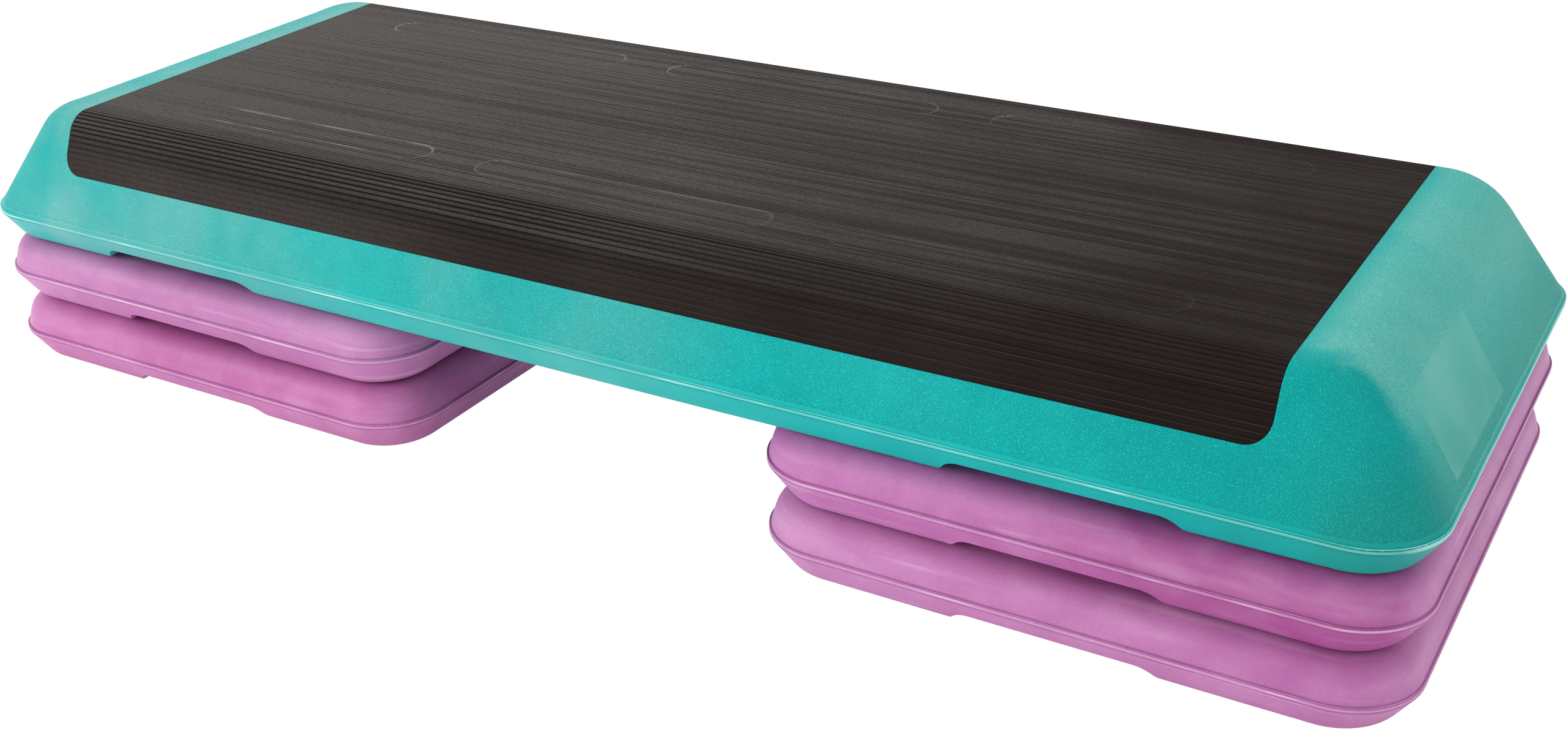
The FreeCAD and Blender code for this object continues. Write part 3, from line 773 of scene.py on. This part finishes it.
RUBBER = (0.0092, 0.0050, 0.0041, 1.0)
RUBBER_GREY_AND_SHEEN = (0.072, 0.064, 0.0605, 1.0)
RUBBER_GROOVE_SHADE = (0.0020, 0.0014, 0.0012, 1.0)
RUBBER_SCRAPE_AND_HIGHLIGHT = (0.190, 0.176, 0.170, 1.0)
RUBBER_ROUGHNESS = (0.50, 0.62)
RUBBER_SPECULAR = 0.03
RUBBER_SKIN = 0.00005
RIB_JUMP = 7.3

# Zones by distance from the mat's middle line: wall, start of the bend, trodden part, top and rubbed bend
ZONE_WALL = (MAT_PAST_BEND - 0.004, MAT_PAST_BEND + 0.7 * MAT_DROP)
ZONE_BEND = (MAT_FLAT_HALF, MAT_FLAT_HALF + 0.004)
ZONE_TRODDEN = (MAT_FLAT_HALF + 0.017, MAT_FLAT_HALF - 0.014)
ZONE_TOP = (MAT_FLAT_HALF + 0.012, MAT_FLAT_HALF - 0.020)
ZONE_RUBBED = (MAT_FLAT_HALF + 0.010, MAT_PAST_BEND - 0.002)
RUBBED_SOFT = 0.009

# Zones across the mat from front to back: greyer back as painted sheen, and painted shade in the grooves,
# darker towards the front
ZONE_BACK = (-0.02, 0.12)
ZONE_GAPS = (0.10, -0.12)

# Zones along the mat: greyer to the left as painted sheen, paler top, dusty wall, a worn middle and left end,
# and painted highlights on the rib edges
ALONG_LEFT = (0.35, -0.45)
ALONG_TOP = (0.44, 0.10)
ALONG_DUSTY = (-0.34, -0.20)
ALONG_WORN = (0.06, 0.20)
ALONG_SOFT = 0.12
ALONG_LEFT_END = (-0.34, -0.44)
ALONG_HIGHLIGHTS = (0.05, 0.40)

# Zones of the marks' pale rims, scraped and with a painted highlight: fainter to the right, and in the front
# row clearest on the left mark
RIM_FAINT = (0.33, 0.00)
RIM_FRONT = (-0.08, -0.22)
RIM_FRONT_END = (-0.375, -0.335)
RIM_BACK = (-0.05, 0.05)
RIM_SHARES = (0.22, 0.85)
RIM_FAINT_KEPT = 0.20
RIM_FRONT_SHARES = (0.30, 0.85)
RIM_FRONT_END_KEPT = 0.15

# Painted highlight on the edge of a rib, in rib pitches from its middle, and what is left of it on the top
# and at the left end
RIB_HIGHLIGHT = (-0.36, -0.30)
RIB_HIGHLIGHT_SOFT = 0.05
HIGHLIGHT_SHARES = (0.04, 0.28)
HIGHLIGHT_KEPT = 0.5

# Shares of grey, wear with painted sheen, that each zone adds, what is left off the trodden part, and how
# streaks and pores vary it
GREY_PATCHES = 0.18
GREY_LEFT_SHEEN = 0.62
GREY_TOP = (0.16, 0.26)
GREY_RUBBED = (0.04, 0.30)
GREY_DUST = 0.15
GREY_BACK_SHEEN = 0.05
GREY_WORN = 0.07
GREY_LEFT_END = 0.10
GREY_OFF_TOP = 0.46
GREY_KEPT = 0.9
STREAK_SHARES = (0.80, 0.50)
STREAK_WALL_LOSS = 0.50
PORE_SHARES = (0.82, 1.18)

# Shares of painted shade in the grooves, to the back, over the bend and down the wall
GAP_SHARES = (0.22, 0.52)
GAP_BACK_KEPT = 0.35
GAP_WALL_LOSS = 0.65
BEND_CREASES = (0.25, 0.85)
WALL_CREASES = (0.06, 0.15)


def pair_place(tree, first, second):
    """Place with two given coordinates."""
    made = tree.nodes.new("ShaderNodeCombineXYZ")
    feed(tree, made.inputs[0], first)
    feed(tree, made.inputs[1], second)
    return made.outputs[0]


def tread_rubber(name):
    """Black rubber, greyer on the trodden crests from wear and painted sheen, with long streaks from rib to
    rib, painted shade in the grooves and painted highlights on the rib edges.
    """
    material, tree, shader, place = new_material(name)
    numbers = {}
    for key in ("across", "along", "groove", "mark"):
        reader = tree.nodes.new("ShaderNodeAttribute")
        reader.attribute_name = key
        numbers[key] = reader.outputs["Fac"]
    across, along, groove, mark = numbers.values()
    sheet = pair_place(tree, along, across)

    # Places that change slowly along the mat and jump from one rib, or one groove, to the next
    pitches = reckon(tree, "DIVIDE", across, RIB_PITCH)
    by_rib = pair_place(tree, along, times(tree, reckon(tree, "ROUND", pitches), RIB_JUMP))
    by_groove = pair_place(tree, along, times(tree, reckon(tree, "FLOOR", pitches), RIB_JUMP))
    ribs = cloud(tree, by_rib, detail=1.0, stretch=(2.0, 1.0, 1.0))
    strips = cloud(tree, sheet, detail=2.0, stretch=(1.2, 130.0, 1.0))
    streaks = ramp(tree, plus(tree, ribs, strips), 0.84, 1.16)
    patches = ramp(tree, cloud(tree, sheet, scale=5.0, detail=3.0), 0.35, 0.68)

    left = ramp(tree, along, *ALONG_LEFT)
    away = reckon(tree, "ABSOLUTE", across)
    wall = ramp(tree, away, *ZONE_WALL)
    bend = times(tree, ramp(tree, away, *ZONE_BEND), less(tree, 1.0, wall))
    trodden = ramp(tree, away, *ZONE_TRODDEN, GREY_OFF_TOP, 1.0)

    # Greyed crests, wear with painted sheen: most on the top and to the left, less down the wall, uneven from
    # rib to rib
    grey_and_sheen = plus(tree, times(tree, patches, GREY_PATCHES), times(tree, left, GREY_LEFT_SHEEN))
    top = times(tree, ramp(tree, away, *ZONE_TOP), ramp(tree, along, *ALONG_TOP, *GREY_TOP))
    grey_and_sheen = times(tree, plus(tree, grey_and_sheen, top), trodden)
    rubbed = band(tree, away, *ZONE_RUBBED, RUBBED_SOFT)
    grey_and_sheen = plus(tree, grey_and_sheen, times(tree, rubbed, ramp(tree, left, 0.0, 0.5, *GREY_RUBBED)))
    dusty = times(tree, wall, band(tree, along, *ALONG_DUSTY, ALONG_SOFT))
    grey_and_sheen = plus(tree, grey_and_sheen, times(tree, dusty, GREY_DUST))
    grey_and_sheen = plus(tree, grey_and_sheen, ramp(tree, across, *ZONE_BACK, 0.0, GREY_BACK_SHEEN))
    worn = times(tree, band(tree, along, *ALONG_WORN, ALONG_SOFT), GREY_WORN)
    worn = plus(tree, worn, ramp(tree, along, *ALONG_LEFT_END, 0.0, GREY_LEFT_END))
    grey_and_sheen = plus(tree, grey_and_sheen, times(tree, worn, trodden))
    uneven = less(tree, ramp(tree, left, 0.4, 1.0, *STREAK_SHARES), times(tree, wall, STREAK_WALL_LOSS))
    uneven = times(tree, less(tree, streaks, 0.5), uneven)
    grey_and_sheen = times(tree, grey_and_sheen, plus(tree, uneven, GREY_KEPT))
    pores = ramp(tree, cloud(tree, place, scale=420.0, detail=3.0), 0.30, 0.70, *PORE_SHARES)
    colour = tint(tree, times(tree, grey_and_sheen, pores), RUBBER, RUBBER_GREY_AND_SHEEN)

    # Painted shade in the grooves, deepest over the bend to the left
    gaps = cloud(tree, by_groove, detail=2.0, stretch=(2.4, 1.0, 1.0))
    gaps = ramp(tree, gaps, 0.40, 0.70, *GAP_SHARES)
    gaps = times(tree, gaps, ramp(tree, across, *ZONE_GAPS, GAP_BACK_KEPT, 1.0))
    gaps = times(tree, gaps, less(tree, 1.0, times(tree, wall, GAP_WALL_LOSS)))
    creases = times(tree, bend, ramp(tree, left, 0.0, 0.5, *BEND_CREASES))
    creases = plus(tree, creases, times(tree, wall, ramp(tree, left, 0.0, 0.5, *WALL_CREASES)))
    creases = times(tree, creases, ramp(tree, groove, 0.0, 0.5))
    colour = tint(tree, most(tree, times(tree, groove, gaps), creases), colour, RUBBER_GROOVE_SHADE)

    # Painted highlights on the outer edges of the ribs, over the bend and to the right
    turns = plus(tree, reckon(tree, "DIVIDE", away, RIB_PITCH), 0.5)
    phase = less(tree, reckon(tree, "FRACT", turns), 0.5)
    rib_highlights = cloud(tree, by_rib, detail=3.0, stretch=(9.0, 1.0, 1.0))
    rib_highlights = ramp(tree, rib_highlights, 0.35, 0.65, *HIGHLIGHT_SHARES)
    rib_highlights = times(tree, rib_highlights, band(tree, phase, *RIB_HIGHLIGHT, RIB_HIGHLIGHT_SOFT))
    over_bend = ramp(tree, away, MAT_FLAT_HALF, MAT_PAST_BEND)
    rib_highlights = times(tree, rib_highlights, most(tree, over_bend, ramp(tree, along, *ALONG_HIGHLIGHTS, 0.0, HIGHLIGHT_KEPT)))
    rib_highlights = times(tree, rib_highlights, ramp(tree, left, 0.0, 1.0, 1.0, HIGHLIGHT_KEPT))
    colour = tint(tree, rib_highlights, colour, RUBBER_GREY_AND_SHEEN)

    # Pale rims of the marks: scraped, with a painted highlight
    rim = times(tree, mark, less(tree, 1.0, mark))
    rim_scrape_and_highlight = ramp(tree, cloud(tree, sheet, scale=24.0, detail=2.0), 0.40, 0.62, *RIM_SHARES)
    rim_scrape_and_highlight = times(tree, rim_scrape_and_highlight, ramp(tree, along, *RIM_FAINT, RIM_FAINT_KEPT, 1.0))
    front_row = ramp(tree, along, *RIM_FRONT, *RIM_FRONT_SHARES)
    front_row = times(tree, front_row, ramp(tree, along, *RIM_FRONT_END, RIM_FRONT_END_KEPT, 1.0))
    rim_scrape_and_highlight = times(tree, rim_scrape_and_highlight, most(tree, front_row, ramp(tree, across, *RIM_BACK)))
    colour = tint(tree, times(tree, ramp(tree, rim, 0.03, 0.20), rim_scrape_and_highlight), colour, RUBBER_SCRAPE_AND_HIGHLIGHT)

    feed(tree, shader.inputs["Base Color"], colour)
    feed(tree, shader.inputs["Roughness"], ramp(tree, streaks, 0.0, 1.0, *RUBBER_ROUGHNESS))
    shader.inputs["Specular IOR Level"].default_value = RUBBER_SPECULAR
    skin = cloud(tree, place, scale=1300.0, detail=2.0)
    feed(tree, shader.inputs["Normal"], relief(tree, skin, RUBBER_SKIN))
    return material


mat = grown("tread", flat_mat(), mat_tree(), {**MAT_SIZES, "Material": tread_rubber("tread_rubber")})
mat.data.set_sharp_from_angle(angle=SHARP_EDGE)
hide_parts("tread_mat")
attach(mat, "platform")


# Feet
# Push-in buttons of black non-skid rubber, four under each riser and eight under the platform.
# Each has a stem that is pressed into a blind hole in the moulding.

FOOT_RUBBER = (0.020, 0.019, 0.018, 1.0)
FOOT_DUST = (0.070, 0.066, 0.060, 1.0)
FOOT_ROUGHNESS = 0.7
FOOT_SKIN = 0.00008


def foot_rubber(name):
    """Matt black rubber with dust in its pores."""
    material, tree, shader, place = new_material(name)
    dust = ramp(tree, cloud(tree, place, scale=120.0, detail=4.0), 0.48, 0.72)
    feed(tree, shader.inputs["Base Color"], tint(tree, dust, FOOT_RUBBER, FOOT_DUST))
    shader.inputs["Roughness"].default_value = FOOT_ROUGHNESS
    skin = cloud(tree, place, scale=1500.0, detail=2.0)
    feed(tree, shader.inputs["Normal"], relief(tree, skin, FOOT_SKIN))
    return material


button = foot_rubber("foot_rubber")
for name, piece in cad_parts.items():
    if "_foot_" in name:
        piece.material_slots[0].material = button


# Studio
# The step stands cut out on white. A white floor throws light up at it but isn't seen and casts no shadow,
# so that the risers also show when they are let down. Soft boxes stand above it and on three sides.

FLOOR_SIZE = 30.0
FLOOR_COLOUR = (0.918, 0.918, 0.918, 1.0)
FLOOR_ROUGHNESS = 0.8
FLOOR_GLOW = 0.22
WHITE = (1.0, 1.0, 1.0, 1.0)
SURROUND_LIGHT = 0.72
SURROUND_SEEN = 1.0
# Place, target, size along and across, and power in watts of each soft box
SOFT_BOXES = {
    "overhead": ((-0.1, -0.2, 2.4), (0.0, 0.0, 0.1), (2.6, 1.6), 26.0),
    "back_left": ((-2.2, 2.2, 1.5), (-0.2, 0.0, 0.2), (2.4, 1.6), 32.0),
    "front_left": ((-1.6, -2.4, 1.2), (-0.2, 0.0, 0.1), (2.4, 1.6), 46.0),
    "right": ((2.6, -0.2, 1.1), (0.3, 0.0, 0.1), (1.8, 1.4), 7.5),
}

floor_mesh = bpy.data.meshes.new("floor")
half = FLOOR_SIZE / 2.0
corners = [(-half, -half, 0.0), (half, -half, 0.0), (half, half, 0.0), (-half, half, 0.0)]
floor_mesh.from_pydata(corners, [], [(0, 1, 2, 3)])
floor = bpy.data.objects.new("floor", floor_mesh)
bpy.context.scene.collection.objects.link(floor)
floor_paint, _, shader, _ = new_material("floor_paint")
shader.inputs["Base Color"].default_value = FLOOR_COLOUR
shader.inputs["Roughness"].default_value = FLOOR_ROUGHNESS
shader.inputs["Emission Color"].default_value = FLOOR_COLOUR
shader.inputs["Emission Strength"].default_value = FLOOR_GLOW
floor_mesh.materials.append(floor_paint)
floor.visible_camera = False
floor.visible_shadow = False

world = bpy.data.worlds.new("surround")
world.use_nodes = True
sky = world.node_tree
backdrop = sky.nodes["Background"]
backdrop.inputs["Color"].default_value = WHITE
seen = sky.nodes.new("ShaderNodeLightPath").outputs["Is Camera Ray"]
feed(sky, backdrop.inputs["Strength"], ramp(sky, seen, 0.0, 1.0, SURROUND_LIGHT, SURROUND_SEEN))
bpy.context.scene.world = world

for name, (place, target, size, power) in SOFT_BOXES.items():
    lamp = bpy.data.lights.new(name, "AREA")
    lamp.shape = "RECTANGLE"
    lamp.size, lamp.size_y = size
    lamp.energy = power
    holder = bpy.data.objects.new(name, lamp)
    holder.location = place
    holder.rotation_euler = (Vector(target) - Vector(place)).to_track_quat("-Z", "Y").to_euler()
    holder.visible_camera = False
    bpy.context.scene.collection.objects.link(holder)

bpy.context.scene.view_settings.view_transform = "Standard"


# Camera
# Stands in front of the right end and looks down along the step, at the photograph's angle.
# Its place, turn, lens and shift were fitted to the edges of the mouldings.

CAMERA_PLACE = (0.67541, -1.04128, 0.64159)
CAMERA_TURN = (63.2336, 1.4458, 30.2552)
CAMERA_LENS = 43.03
CAMERA_SENSOR = 36.0
CAMERA_SHIFT = (0.0008, 0.00557)

camera = bpy.data.cameras.new("camera")
camera.lens = CAMERA_LENS
camera.sensor_width = CAMERA_SENSOR
camera.shift_x, camera.shift_y = CAMERA_SHIFT
viewer = bpy.data.objects.new("camera", camera)
viewer.location = CAMERA_PLACE
viewer.rotation_euler = [math.radians(angle) for angle in CAMERA_TURN]
bpy.context.scene.collection.objects.link(viewer)
bpy.context.scene.camera = viewer
